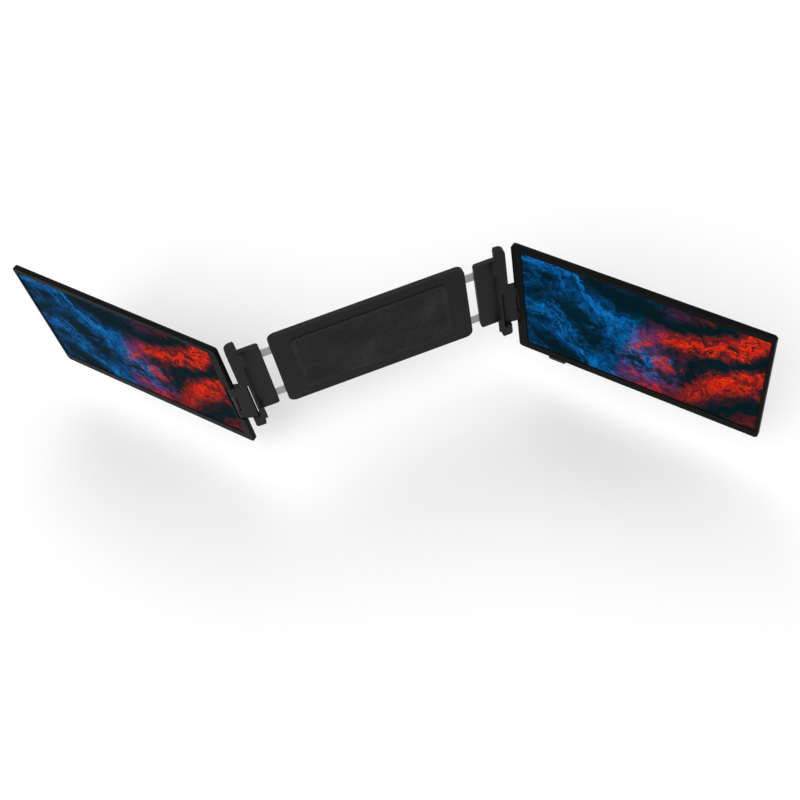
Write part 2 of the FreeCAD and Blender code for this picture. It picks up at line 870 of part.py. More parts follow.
def key(x):
    """A push key with a hidden flange that keeps it in."""
    top = wing_back + key_proud
    low = backlight_back + button_board_thickness + key_travel + key_floor_gap
    stem = rod(key_radius, Vec(x, low, key_height()), BACK, top - low)
    stem = stem.makeFillet(key_rim_fillet, rim_edges(stem, top))
    flange = rod(key_radius + key_flange, Vec(x, low, key_height()), BACK, wing_seam - key_roof_gap - low)
    return joined([stem, flange])


def rocker_key():
    """The two-way control bar on the lower edge: a wide cap with sloping ends on a narrower stem."""
    y = rocker_depth / 2
    low = wing_bottom - rocker_proud
    cap_top = wing_bottom - rocker_cap_gap
    cap = box(centred(rocker_place, rocker_length), rocker_cap_y, (low, cap_top))
    ends = edges_along(cap, BACK, lambda middle: middle.z < low + 0.1)
    cap = cap.makeChamfer(rocker_end_slope, ends)
    bar_x = centred(rocker_place, rocker_length)
    bar = box(bar_x, (-y, y), (cap_top - rocker_cap_root, rocker_pin_z()))
    flange_z = [wing_bottom + wing_wall + rise for rise in rocker_flange_rise]
    flange = box(around(bar_x, rocker_flange_reach), (-y, y), flange_z)
    neck = box(around(bar_x, -rocker_neck_inset), (-y, y), (wing_bottom, flange_z[1]))
    bore_start = Vec(rocker_place, -y - 1, rocker_pin_z())
    bore = rod(rocker_pin_radius + pin_running_gap, bore_start, BACK, rocker_depth + 2)
    return joined([cap, bar, neck, flange]).cut(bore)


def rocker_pin_z():
    """The height of the rocker's pin."""
    return wing_bottom + wing_wall + rocker_pin_rise


def rocker_pin():
    """The pin that the control bar rocks on."""
    start = Vec(rocker_place, panel_front, rocker_pin_z())
    return rod(rocker_pin_radius, start, BACK, wing_seam - panel_front)


def rocker_slot():
    """The opening in the lower wall for the control bar."""
    x = around(centred(rocker_place, rocker_length), rocker_slack)
    y = around(centred(0, rocker_depth), rocker_slack)
    return box(x, y, (wing_bottom - 1, wing_bottom + wing_wall + 0.01))


def rocker_boss():
    """A rib inside the lower wall that holds the front end of the rocker's pin."""
    y = (panel_front - 0.1, -rocker_depth / 2 - rocker_boss_gap)
    z = (wing_bottom + wing_wall - 0.1, rocker_pin_z() + rocker_boss_rise)
    return box(centred(rocker_place, rocker_boss_width), y, z)


def bumpers():
    """Small rubber rests set in the front of the upper rim."""
    z_middle = wing_top - screen_top_edge / 2
    rests = []
    for x in (bumper_near, wing_length - bumper_far):
        y = (wing_front - bumper_proud, wing_front + bumper_depth)
        pad = box(centred(x, bumper_size[0]), y, centred(z_middle, bumper_size[1]))
        rests.append(pad.makeFillet(bumper_corner, edges_along(pad, BACK, lambda middle: True)))
    return rests


# Placing

def place_block(shape, side):
    """Move a piece from the block's own frame to where it stands."""
    moved = shape.copy()
    moved.rotate(ORIGIN, UP, -side.block_turn)
    moved.translate(Vec(side.pin_x, side.pin_y, 0))
    return mirrored(moved, side)


def screen_pin_place(side):
    """Where the screen pin stands, before mirroring."""
    turn = math.radians(side.block_turn)
    x = side.pin_x + pin_spacing * math.cos(turn)
    return Vec(x, side.pin_y - pin_spacing * math.sin(turn), 0)


def place_wing(shape, side):
    """Move a piece from the wing's own frame to where it stands."""
    moved = shape.copy()
    moved.translate(Vec(-side.pin_inset, -side.pin_behind, 0))
    moved.rotate(ORIGIN, UP, -side.wing_turn)
    moved.translate(screen_pin_place(side))
    return mirrored(moved, side)


def save_centre():
    """Write the centre plate and the kickstand."""
    save("centre_front_cover", centre_front_cover())
    save("centre_back_cover", centre_back_cover())
    save("centre_lid_pad", lid_pad())
    save("centre_rail_guides", rail_guides())
    save("centre_screws", [screw(head, -BACK, centre_screw_length()) for head in centre_screw_heads()])
    save("stand_pins", stand_pins())
    save("stand_plate", stand_plate())
    save("stand_bushes", stand_bushes())
    save("stand_foot", stand_foot())


def save_arm(side):
    """Write one side arm."""
    pieces = {
        "arm_body": [arm_body(side)],
        "arm_cover": [arm_cover()],
        "arm_rails": drilled_rails(),
        "arm_lid_liners": lid_liners(),
        "arm_screws": arm_screws(),
        "frame_pin": [frame_pin(side)],
    }
    for name, solids in pieces.items():
        save(side.name + "_" + name, [mirrored(solid, side) for solid in solids])


def save_block(side):
    """Write one hinge block."""
    front, back = block_halves(side)
    pieces = {
        "block_front": [front],
        "block_back": [back],
        "block_sleeves": block_sleeves(),
        "block_screws": block_screws(side),
    }
    for name, solids in pieces.items():
        save(side.name + "_" + name, [place_block(solid, side) for solid in solids])


def save_wing(side):
    """Write one screen wing."""
    pieces = {
        "bezel": [bezel(side)],
        "back_cover": [back_cover(side)],
        "display_panel": [display_panel()],
        "backlight": [backlight()],
        "driver_board": [driver_board()],
        "panel_flex": [panel_flex()],
        "button_board": [button_board(side)],
        "hinge_bracket": [hinge_bracket(side)],
        "bracket_screws": bracket_screws(side),
        "screen_pin": [screen_pin(side)],
        "usb_ports": usb_ports(),
        "hdmi_port": [hdmi_port()],
    }
    key_names = ["power_key", "plus_key", "minus_key"]
    for name, x in zip(key_names, key_places(side)):
        pieces[name] = [key(x)]
    if side is left:
        pieces["bumpers"] = bumpers()
    if side is right:
        pieces["rocker_key"] = [rocker_key()]
        pieces["rocker_pin"] = [rocker_pin()]
    for name, solids in pieces.items():
        save(side.name + "_" + name, [place_wing(solid, side) for solid in solids])


def main():
    os.makedirs("parts", exist_ok=True)
    save_centre()
    for side in (left, right):
        save_arm(side)
        save_block(side)
        save_wing(side)
        pin = screen_pin_place(side)
        print(side.name, "screen pin at", round(pin.x, 3), round(pin.y, 3))


main()
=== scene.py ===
import json
import logging
import math
from dataclasses import dataclass, field
from enum import Enum
from typing import Any, Callable, Iterable, Mapping, Optional, Sequence, Union

import bpy
from mathutils import Matrix, Vector

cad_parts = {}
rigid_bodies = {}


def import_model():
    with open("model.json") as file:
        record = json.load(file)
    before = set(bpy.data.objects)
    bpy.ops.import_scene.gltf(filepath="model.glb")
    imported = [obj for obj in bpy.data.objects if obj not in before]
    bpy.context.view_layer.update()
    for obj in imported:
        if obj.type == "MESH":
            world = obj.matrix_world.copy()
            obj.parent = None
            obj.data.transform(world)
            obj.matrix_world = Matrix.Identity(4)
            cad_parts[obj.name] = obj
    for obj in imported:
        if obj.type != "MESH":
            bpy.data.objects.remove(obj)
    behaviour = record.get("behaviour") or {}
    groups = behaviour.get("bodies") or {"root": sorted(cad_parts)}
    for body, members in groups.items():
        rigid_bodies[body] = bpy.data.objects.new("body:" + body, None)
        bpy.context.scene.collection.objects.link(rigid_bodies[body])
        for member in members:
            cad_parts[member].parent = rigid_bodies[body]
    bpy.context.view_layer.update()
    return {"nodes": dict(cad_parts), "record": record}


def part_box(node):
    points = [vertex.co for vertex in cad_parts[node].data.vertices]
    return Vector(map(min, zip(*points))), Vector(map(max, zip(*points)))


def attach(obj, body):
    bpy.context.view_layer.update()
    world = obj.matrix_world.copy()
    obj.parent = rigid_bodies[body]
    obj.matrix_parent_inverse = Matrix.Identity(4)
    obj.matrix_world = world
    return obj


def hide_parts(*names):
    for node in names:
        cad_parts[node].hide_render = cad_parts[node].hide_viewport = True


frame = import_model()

# Looks for a two-wing screen extender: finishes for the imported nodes, small modelled pieces,
# and a plain studio. Lengths are in metres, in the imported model's own frame.

RECORD = frame["record"]
LOG = logging.getLogger("extender")

Colour = tuple[float, float, float]
Point = tuple[float, float, float]
Piece = bpy.types.Object
Material = bpy.types.Material

ORIGIN: Point = (0.0, 0.0, 0.0)
WHITE = (1.0, 1.0, 1.0, 1.0)
DARK: Colour = (0.0, 0.0, 0.0)
# The shallowest grain, and the step that keeps two faces out of one plane
FINE = 0.00001
# How far a cutting tool runs past the piece that it cuts
OVERSHOOT = 0.001
# The angle past which an edge counts as sharp
SHARP = math.radians(35.0)


class Side(Enum):
    """The two sides of the extender, as the viewer sees them."""

    LEFT = "left"
    RIGHT = "right"


class Slot(Enum):
    """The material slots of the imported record."""

    SHELL = "shell_black"
    BEZEL = "bezel_black"
    ARM = "arm_black"
    STAND = "stand_metal"
    RUBBER = "rubber_black"
    STEEL = "steel"
    DARK_STEEL = "dark_steel"
    NYLON = "nylon"
    SCREEN = "screen"
    LIGHT_GUIDE = "light_guide"
    BOARD = "circuit_board"
    RIBBON = "ribbon"
    KEY = "key_black"
    PORT = "port_metal"


class Mark(Enum):
    """What is printed on a round key."""

    POWER = "power"
    PLUS = "plus"
    MINUS = "minus"


def operator(operation: str, reflected: bool = False) -> Callable[["Value", "Operand"], "Value"]:
    """Make an operator of shader values.

    Args:
        operation: the operation of its Math node.
        reflected: whether the value stands on the operator's right.

    Returns:
        The operator's method.
    """

    def method(self: "Value", other: "Operand") -> "Value":
        """The sum of the value and another value or number."""
        pair = (other, self) if reflected else (self, other)
        return self.graph.maths(operation, *pair)

    return method


class Value:
    """A number, colour or vector inside a shader graph that takes part in ordinary sums."""

    def __init__(self, graph: "Graph", socket: Optional[bpy.types.NodeSocket]) -> None:
        """Keep the graph and the socket that the value comes out of."""
        self.graph = graph
        self.socket = socket

    __add__, __radd__ = operator("ADD"), operator("ADD", reflected=True)
    __sub__, __rsub__ = operator("SUBTRACT"), operator("SUBTRACT", reflected=True)
    __mul__, __rmul__ = operator("MULTIPLY"), operator("MULTIPLY", reflected=True)
    __truediv__, __rtruediv__ = operator("DIVIDE"), operator("DIVIDE", reflected=True)
    __pow__, __rpow__ = operator("POWER"), operator("POWER", reflected=True)


Operand = Union[Value, float]


class Graph:
    """The node tree of one material or of the world, built from values."""

    def __init__(self, owner: Union[Material, bpy.types.World]) -> None:
        """Start an empty tree.

        Args:
            owner: the material or world that the tree belongs to.
        """
        owner.use_nodes = True
        self.owner = owner
        self.tree = owner.node_tree
        self.tree.nodes.clear()

    @classmethod
    def named(cls, name: str) -> "Graph":
        """The empty tree of a new material."""
        return cls(bpy.data.materials.new(name))

    def node(
        self, kind: str, inputs: Mapping[Union[str, int], Any], output: Union[str, int] = 0, **settings: Any
    ) -> Value:
        """Add one node, set it, feed its inputs and give back one of its outputs.

        Args:
            kind: the node's type name.
            inputs: input name or number with the value or constant that it takes.
            output: name or number of the output that is wanted.
            settings: plain settings of the node, or the stops of a colour ramp.

        Returns:
            The chosen output, or an empty value for a node that has none.
        """
        made = self.tree.nodes.new(kind)
        for name, setting in settings.items():
            if name != "stops":
                setattr(made, name, setting)
                continue
            elements = made.color_ramp.elements
            while len(elements) < len(setting):
                elements.new(0.5)
            for element, (where, shade) in zip(elements, setting):
                element.position = where
                element.color = (*shade, 1.0)
        for key, given in inputs.items():
            if isinstance(given, Value):
                self.tree.links.new(given.socket, made.inputs[key])
            else:
                made.inputs[key].default_value = given
        return Value(self, made.outputs[output] if len(made.outputs) else None)

    def maths(self, operation: str, first: Operand, second: Operand) -> Value:
        """One sum of two values or numbers."""
        return self.node("ShaderNodeMath", {0: first, 1: second}, operation=operation)

    def sine(self, angle: Operand) -> Value:
        """The sine of a value in radians."""
        return self.node("ShaderNodeMath", {0: angle}, operation="SINE")

    def size(self, given: Operand) -> Value:
        """The value without its sign."""
        return self.node("ShaderNodeMath", {0: given}, operation="ABSOLUTE")

    def clamp(self, given: Operand) -> Value:
        """The value kept between 0 and 1."""
        return self.node("ShaderNodeClamp", {"Value": given})

    def smooth(self, given: Operand, low: float, high: float) -> Value:
        """A soft step from 0 at low to 1 at high."""
        inputs = {"Value": given, "From Min": low, "From Max": high}
        return self.node("ShaderNodeMapRange", inputs, interpolation_type="SMOOTHSTEP")

    def object_place(self) -> Value:
        """The point on the object, in metres in the model's frame."""
        return self.node("ShaderNodeTexCoord", {}, output="Object")

    def mapped(self, place: Value, scale: Point, turn: Point = ORIGIN, move: Point = ORIGIN) -> Value:
        """A place scaled, then turned, then moved."""
        inputs = {"Vector": place, "Location": move, "Rotation": turn, "Scale": scale}
        return self.node("ShaderNodeMapping", inputs, vector_type="POINT")

    def axis(self, place: Value, name: str) -> Value:
        """One coordinate of a place."""
        return self.node("ShaderNodeSeparateXYZ", {0: place}, output=name)

    def place(self, x: Operand, y: Operand, z: Operand = 0.0) -> Value:
        """A place put together from three values."""
        return self.node("ShaderNodeCombineXYZ", {0: x, 1: y, 2: z})

    def noise(
        self, place: Value, scale: float, detail: float = 3.0, rough: float = 0.5, warp: float = 0.0
    ) -> Value:
        """Cloud-like noise between 0 and 1, in cells of 1 / scale with finer layers, that bends itself."""
        inputs = {"Vector": place, "Scale": scale, "Detail": detail, "Roughness": rough, "Distortion": warp}
        return self.node("ShaderNodeTexNoise", inputs)

    def cells(self, place: Value, scale: float) -> Value:
        """Distance to the middle of the nearest cell."""
        return self.node("ShaderNodeTexVoronoi", {"Vector": place, "Scale": scale}, output="Distance")

    def ramp(self, given: Operand, *stops: tuple[float, Colour]) -> Value:
        """A colour read off a row of stops by a value from 0 to 1."""
        return self.node("ShaderNodeValToRGB", {"Fac": given}, stops=stops)

    def blend(self, share: Operand, first: Any, second: Any) -> Value:
        """Two colours mixed by a share."""
        inputs = {0: share, 6: self.paint(first), 7: self.paint(second)}
        return self.node("ShaderNodeMix", inputs, output=2, data_type="RGBA")

    @staticmethod
    def paint(given: Any) -> Any:
        """A plain colour with its fourth number, or the value as it is."""
        return given if isinstance(given, Value) else (*given, 1.0)

    def bump(self, height: Value, distance: float) -> Value:
        """A normal bumped by a height from 0 to 1, whose full depth is a distance in metres."""
        inputs = {"Height": height, "Distance": distance, "Strength": 1.0}
        return self.node("ShaderNodeBump", inputs, output="Normal")

    def looked_at(self) -> Value:
        """Find the rays that see the background.

        Returns:
            1 for rays from the camera, from a reflection or through a clear piece.
        """
        names = ("Is Camera Ray", "Is Glossy Ray", "Is Transmission Ray")
        camera, glossy, clear = [self.node("ShaderNodeLightPath", {}, output=name) for name in names]
        return self.maths("MAXIMUM", camera, self.maths("MAXIMUM", glossy, clear))

    def finish(self, colour: Value, roughness: Value, normal: Value, others: Mapping[str, Any]) -> Material:
        """Close a material's graph with one surface shader."""
        inputs = {"Base Color": colour, "Roughness": self.clamp(roughness), "Normal": normal, **others}
        return self.close(self.node("ShaderNodeBsdfPrincipled", inputs))

    def close(self, surface: Value, kind: str = "ShaderNodeOutputMaterial") -> Any:
        """Send a shader to the tree's output node, and give back the finished material or world."""
        self.node(kind, {"Surface": surface})
        return self.owner


@dataclass(frozen=True)
class Finish:
    """A named finish of two colours, the second for patches, and its mean or least roughness."""

    name: str
    colour: Colour
    other: Colour
    roughness: float

    def start(self) -> tuple[Graph, Value]:
        """The graph of a new material, and the point on the object."""
        graph = Graph.named(self.name)
        return graph, graph.object_place()


@dataclass(frozen=True)
class Moulded(Finish):
    """Injection-moulded plastic with an eroded grain.

    Attributes:
        haze: how much handling changes the roughness.
        gloss: strength of its reflections, 0.5 being bare plastic.
    """

    haze: float
    grain: float
    depth: float
    gloss: float = 0.3

    def build(self) -> Material:
        """Make the material.

        Returns:
            The material.
        """
        graph, place = self.start()
        grain = graph.noise(place, 1.0 / self.grain, 2.0, 0.6)
        speck = graph.noise(place, 0.22 / self.grain, 2.0, 0.55)
        cloud = graph.noise(place, 16.0, 4.0, 0.6, 0.4)
        handled = graph.noise(place, 34.0, 5.0, 0.7, 1.2)
        share = graph.clamp(cloud * 0.7 + grain * 0.5 - 0.1)
        return graph.finish(
            graph.blend(share, self.colour, self.other),
            self.roughness + (handled - 0.5) * self.haze + (grain - 0.5) * 0.10,
            graph.bump(grain * 0.7 + speck * 0.3, self.depth),
            {"IOR": 1.47, "Specular IOR Level": self.gloss},
        )


@dataclass(frozen=True)
class Hairline(Finish):
    """Plastic with fine straight lines along one axis, as on the backs of the wings.

    Attributes:
        stretch: cells of the lines for each metre of each axis.
    """

    gloss: float
    stretch: Point = (26.0, 26.0, 2600.0)
    depth: float = 0.00003

    def build(self) -> Material:
        """Make the material.

        Returns:
            The material.
        """
        graph, place = self.start()
        lines = graph.noise(graph.mapped(place, self.stretch), 1.0, 2.0, 0.6)
        grain = graph.noise(place, 1900.0, 2.0, 0.6)
        cloud = graph.noise(place, 12.0, 4.0, 0.6, 0.5)
        share = graph.clamp(lines * 0.6 + cloud * 0.5 - 0.1)
        return graph.finish(
            graph.blend(share, self.colour, self.other),
            self.roughness + (cloud - 0.5) * 0.22 + (lines - 0.5) * 0.14,
            graph.bump(lines * 0.75 + grain * 0.25, self.depth),
            {"IOR": 1.47, "Specular IOR Level": self.gloss},
        )


@dataclass(frozen=True)
class Metal(Finish):
    """Metal with lines from its last pass of grinding.

    Attributes:
        lines: how many lines a metre of each axis has.
        metallic: how metallic it is, so that painted metal can be made too.
    """

    lines: Point
    depth: float
    metallic: float = 1.0

    def build(self) -> Material:
        """Make the material.

        Returns:
            The material.
        """
        graph, place = self.start()
        lines = graph.noise(graph.mapped(place, self.lines), 1.0, 3.0, 0.65)
        stains = graph.noise(place, 60.0, 5.0, 0.65, 0.8)
        share = graph.clamp(stains * 0.8 + lines * 0.4 - 0.2)
        return graph.finish(
            graph.blend(share, self.colour, self.other),
            self.roughness + (lines - 0.5) * 0.22 + (stains - 0.5) * 0.16,
            graph.bump(lines, self.depth),
            {"Metallic": self.metallic, "Anisotropic": 0.35},
        )


@dataclass(frozen=True)
class Rubber(Finish):
    """Soft rubber with a little dust and so many pebbles to the metre."""

    pebbles: float = 1500.0
    depth: float = 0.00006

    def build(self) -> Material:
        """Make the material.

        Returns:
            The material.
        """
        graph, place = self.start()
        pebbles = graph.cells(place, self.pebbles)
        dust = graph.noise(place, 260.0, 6.0, 0.75)
        cloud = graph.noise(place, 22.0, 3.0, 0.5)
        share = graph.smooth(dust * 0.7 + cloud * 0.5, 0.52, 0.85)
        return graph.finish(
            graph.blend(share, self.colour, self.other),
            self.roughness + (dust - 0.5) * 0.18,
            graph.bump(pebbles, self.depth),
            {"IOR": 1.5, "Specular IOR Level": 0.2},
        )


@dataclass(frozen=True)
class CircuitBoard(Finish):
    """Solder mask over copper tracks, which have a colour of their own."""

    track: Colour

    def build(self) -> Material:
        """Make the material.

        Returns:
            The material.
        """
        graph, place = self.start()
        bricks = {"Vector": place, "Scale": 240.0, "Mortar Size": 0.03, "Brick Width": 1.7, "Row Height": 0.4}
        tracks = graph.node("ShaderNodeTexBrick", bricks, output="Fac")
        cloud = graph.noise(place, 300.0, 3.0)
        mask = graph.blend(cloud, self.colour, self.other)
        colour = graph.blend(tracks * 0.55, mask, self.track)
        return graph.finish(colour, self.roughness + cloud * 0.2, graph.bump(tracks, 0.00004), {})


@dataclass(frozen=True)
class LightGuide(Finish):
    """A milky acrylic sheet with rows of printed dots."""

    def build(self) -> Material:
        """Make the material.

        Returns:
            The material.
        """
        graph, place = self.start()
        dots = graph.smooth(graph.cells(place, 700.0), 0.25, 0.4)
        cloud = graph.noise(place, 40.0, 3.0)
        colour = graph.blend(dots, self.colour, self.other)
        return graph.finish(colour, self.roughness + cloud * 0.25, graph.bump(dots, 0.00002), {})


@dataclass(frozen=True)
class WingPlace:
    """Where a wing stands, from its own flat drawing to the model's frame.

    Attributes:
        side: which wing.
        pin: the screen pin's place on the right-hand side's plan.
        turn: how far the wing is turned towards the viewer, in degrees.
        inset: the pin's distance from the wing's near edge.
        behind: the pin's distance behind the wing's middle plane.
    """

    side: Side
    pin: tuple[float, float]
    turn: float
    inset: float
    behind: float

    @property
    def flip(self) -> float:
        """-1 where the side is mirrored."""
        return -1.0 if self.side is Side.LEFT else 1.0

    def to_model(self) -> Matrix:
        """Place the wing's drawing.

        Returns:
            The matrix from the drawing to the model's frame.
        """
        mirror = Matrix.Diagonal((self.flip, 1.0, 1.0, 1.0))
        pin = Matrix.Translation((*self.pin, 0.0))
        turned = Matrix.Rotation(-math.radians(self.turn), 4, "Z")
        inset = Matrix.Translation((-self.inset, -self.behind, 0.0))
        return mirror @ pin @ turned @ inset

    def drawing_place(self, graph: Graph) -> Value:
        """Bring the point on the object back to the wing's own drawing.

        Args:
            graph: the graph that it is for.

        Returns:
            The point on the drawing.
        """
        angle = math.radians(self.turn)
        turned = Matrix.Rotation(angle, 3, "Z") @ Vector((*self.pin, 0.0))
        move = (self.inset - turned.x, self.behind - turned.y, 0.0)
        return graph.mapped(graph.object_place(), (self.flip, 1.0, 1.0), (0.0, 0.0, angle), move)


@dataclass(frozen=True)
class LitArea:
    """The lit area on a wing's drawing, with its near and lower edges and the unlit rim inside it."""

    near: float = 0.0125
    low: float = -0.1009
    length: float = 0.3094
    height: float = 0.174
    border: float = 0.0009


@dataclass(frozen=True)
class Picture:
    """A lit screen with a plain design of drifting ribbons, blue to the left and orange to the right."""

    name: str
    wing: WingPlace
    area: LitArea

    def ribbons(
        self, graph: Graph, along: Value, up: Value, slope: float, seed: float
    ) -> tuple[Value, Value]:
        """Bent ribbons with fine threads in them.

        Args:
            graph: the material's graph.
            along: place along the picture, in picture heights.
            up: place up the picture, from 0 to 1.
            slope: how steeply the ribbons fall to the right.
            seed: where in the noise they are taken from.

        Returns:
            How much ribbon there is, and the brightness of its threads.
        """
        spot = graph.place(along, up, seed)
        drift = graph.noise(spot, 1.3, 2.0, 0.5, 0.0) - 0.5
        curl = graph.noise(spot, 4.6, 4.0, 0.66, 1.4) - 0.5
        across = up + along * slope + drift * 0.9 + curl * 0.42
        wave = graph.sine(across * 12.5 + seed) * 0.5 + 0.5
        flow = graph.place(along * 2.6 + drift * 2.0, across * 12.0, seed)
        threads = graph.noise(flow, 1.9, 8.0, 0.76, 1.3)
        patches = graph.smooth(graph.noise(spot, 5.5, 5.0, 0.7, 1.6), 0.35, 0.58)
        body = graph.clamp((wave ** 1.6) * patches * graph.smooth(threads, 0.36, 0.6) * 1.25)
        return body, graph.clamp(threads * 2.4 - 0.79)

    def design(self, graph: Graph, across: Value, up: Value) -> Value:
        """The picture's colour.

        Args:
            graph: the material's graph.
            across: place across the picture, from 0 at its left to 1 at its right.
            up: place up the picture, from 0 to 1.

        Returns:
            The colour.
        """
        along = across * (self.area.length / self.area.height)
        warp = graph.noise(graph.place(along, up, 3.0), 2.6, 4.0, 0.6, 0.6) - 0.5
        cold, cold_threads = self.ribbons(graph, along, up, 0.55, 2.0)
        warm, warm_threads = self.ribbons(graph, along, up, -0.62, 9.3)
        swell, swell_threads = self.ribbons(graph, along, up, 0.1, 5.1)

        where = across + warp * 0.34
        blue_side = 1.0 - graph.smooth(where, 0.46, 0.68)
        warm_side = graph.smooth(where - (up - 0.5) * 0.22, 0.44, 0.58)
        warm_line = graph.size(up - (across - 0.5) * 1.35 - 0.16 + warp * 0.5)
        cold_line = graph.size(up + across * 1.2 - 0.86 + warp * 0.6)
        warm_path = 1.0 - graph.smooth(warm_line, 0.14, 0.5)
        cold_path = 1.0 - graph.smooth(cold_line, 0.22, 0.75)

        ground = graph.blend(graph.clamp(warp + 0.4), (0.0004, 0.0065, 0.009), (0.0008, 0.017, 0.026))
        blue = graph.ramp(
            cold_threads,
            (0.0, (0.0005, 0.026, 0.075)),
            (0.4, (0.0008, 0.09, 0.31)),
            (1.0, (0.008, 0.31, 0.84)),
        )
        red = graph.ramp(
            warm_threads,
            (0.0, (0.1, 0.001, 0.005)),
            (0.3, (0.5, 0.006, 0.004)),
            (0.68, (0.95, 0.045, 0.002)),
            (1.0, (1.0, 0.2, 0.012)),
        )
        violet = graph.ramp(swell_threads, (0.0, (0.02, 0.006, 0.05)), (1.0, (0.3, 0.03, 0.16)))

        share = graph.clamp((cold * 1.4 + swell * 0.65) * blue_side * (cold_path * 0.7 + 0.3))
        colour = graph.blend(share, ground, blue)
        meeting = graph.clamp(blue_side * warm_side * 4.0) * swell
        colour = graph.blend(graph.clamp(meeting * 0.85), colour, violet)
        share = graph.clamp(warm * 1.7 * warm_side * (warm_path * 0.85 + 0.15))
        return graph.blend(share, colour, red)

    def build(self) -> Material:
        """Make the material.

        Returns:
            The material.
        """
        area = self.area
        graph = Graph.named(self.name)
        drawn = self.wing.drawing_place(graph)
        away = (graph.axis(drawn, "X") - area.near) / area.length
        across = away if self.wing.side is Side.RIGHT else 1.0 - away
        up = (graph.axis(drawn, "Z") - area.low) / area.height
        colour = self.design(graph, across, up)
        end = graph.size(across - 0.5) - (0.5 - area.border / area.length)
        edge = graph.size(up - 0.5) - (0.5 - area.border / area.height)
        lit = 1.0 - graph.smooth(graph.maths("MAXIMUM", end, edge), -0.0015, 0.0)
        rows = {"Vector": drawn, "Scale": 1200.0}
        lines = graph.node("ShaderNodeTexWave", rows, output="Fac", bands_direction="X")
        smear = graph.noise(drawn, 9.0, 5.0, 0.6, 1.0)
        return graph.finish(
            graph.blend(lit, (0.0014, 0.0014, 0.0015), (0.001, 0.0011, 0.0013)),
            0.2 + (smear - 0.5) * 0.14,
            graph.bump(smear, 0.00002),
            {
                "IOR": 1.45,
                "Specular IOR Level": 0.0015,
                "Emission Color": graph.blend(lit * (0.94 + lines * 0.06), DARK, colour),
                "Emission Strength": 1.0,
            },
        )


@dataclass(frozen=True)
class Floor:
    """A pale floor that keeps shadows near the object and turns plain white from near to far."""

    name: str
    near: float = 0.9
    far: float = 2.4

    def build(self) -> Material:
        """Make the material.

        Returns:
            The material.
        """
        graph = Graph.named(self.name)
        place = graph.object_place()
        cloud = graph.noise(place, 2.0, 2.0)
        ground = graph.node(
            "ShaderNodeBsdfPrincipled",
            {
                "Base Color": graph.blend(cloud, (0.86, 0.86, 0.86), (0.88, 0.88, 0.88)),
                "Roughness": graph.clamp(0.8 + cloud * 0.1),
                "Specular IOR Level": 0.1,
            },
        )
        paper = graph.node("ShaderNodeEmission", {"Color": WHITE, "Strength": 1.0})
        flat = graph.mapped(place, (1.0, 1.0, 0.0))
        reach = graph.node("ShaderNodeVectorMath", {0: flat}, output="Value", operation="LENGTH")
        share = graph.smooth(reach, self.near, self.far) * graph.looked_at()
        return graph.close(graph.node("ShaderNodeMixShader", {0: share, 1: ground, 2: paper}))


SLOT_FINISHES = {
    Slot.SHELL: Hairline("wing_shell", (0.0045, 0.0045, 0.0048), (0.0098, 0.0098, 0.0102), 0.46, 0.12),
    Slot.BEZEL: Moulded(
        "wing_bezel", (0.0016, 0.0016, 0.0018), (0.004, 0.004, 0.0043), 0.42, 0.16, 0.0004, 0.00003, 0.035
    ),
    Slot.ARM: Moulded(
        "arm_plastic", (0.0065, 0.0065, 0.0068), (0.0135, 0.0135, 0.014), 0.5, 0.2, 0.0005, 0.00005, 0.12
    ),
    Slot.STAND: Metal(
        "stand_paint", (0.026, 0.026, 0.028), (0.042, 0.042, 0.044), 0.4, (60.0, 900.0, 2400.0), 0.00002, 0.75
    ),
    Slot.RUBBER: Rubber("rubber", (0.009, 0.009, 0.009), (0.03, 0.029, 0.028), 0.78),
    Slot.STEEL: Metal("steel", (0.36, 0.365, 0.375), (0.24, 0.24, 0.245), 0.3, (2600.0, 2600.0, 120.0), FINE),
    Slot.DARK_STEEL: Metal(
        "dark_steel", (0.045, 0.045, 0.047), (0.024, 0.024, 0.024), 0.42, (2200.0, 2200.0, 200.0), FINE
    ),
    Slot.NYLON: Moulded("nylon", (0.35, 0.34, 0.31), (0.46, 0.45, 0.42), 0.5, 0.12, 0.0006, 0.00003, 0.4),
    Slot.LIGHT_GUIDE: LightGuide("light_guide", (0.86, 0.88, 0.9), (0.68, 0.71, 0.74), 0.25),
    Slot.BOARD: CircuitBoard(
        "circuit_board", (0.004, 0.045, 0.02), (0.006, 0.07, 0.032), 0.36, (0.05, 0.17, 0.06)
    ),
    Slot.RIBBON: Metal(
        "ribbon", (0.42, 0.2, 0.05), (0.3, 0.14, 0.03), 0.4, (1500.0, 60.0, 60.0), 0.00002, 0.4
    ),
    Slot.KEY: Moulded(
        "key_plastic", (0.01, 0.01, 0.0105), (0.017, 0.017, 0.018), 0.36, 0.12, 0.0003, 0.00002
    ),
    Slot.PORT: Metal("port_shell", (0.6, 0.6, 0.61), (0.44, 0.44, 0.45), 0.26, (1800.0, 1800.0, 300.0), FINE),
}
CONTACT_GOLD = Metal(
    "contact_gold", (0.83, 0.55, 0.2), (0.7, 0.44, 0.16), 0.28, (900.0, 900.0, 900.0), FINE / 2
)
MARK_PAINT = Moulded("mark_paint", (0.42, 0.42, 0.42), (0.5, 0.5, 0.5), 0.6, 0.1, 0.0002, FINE)


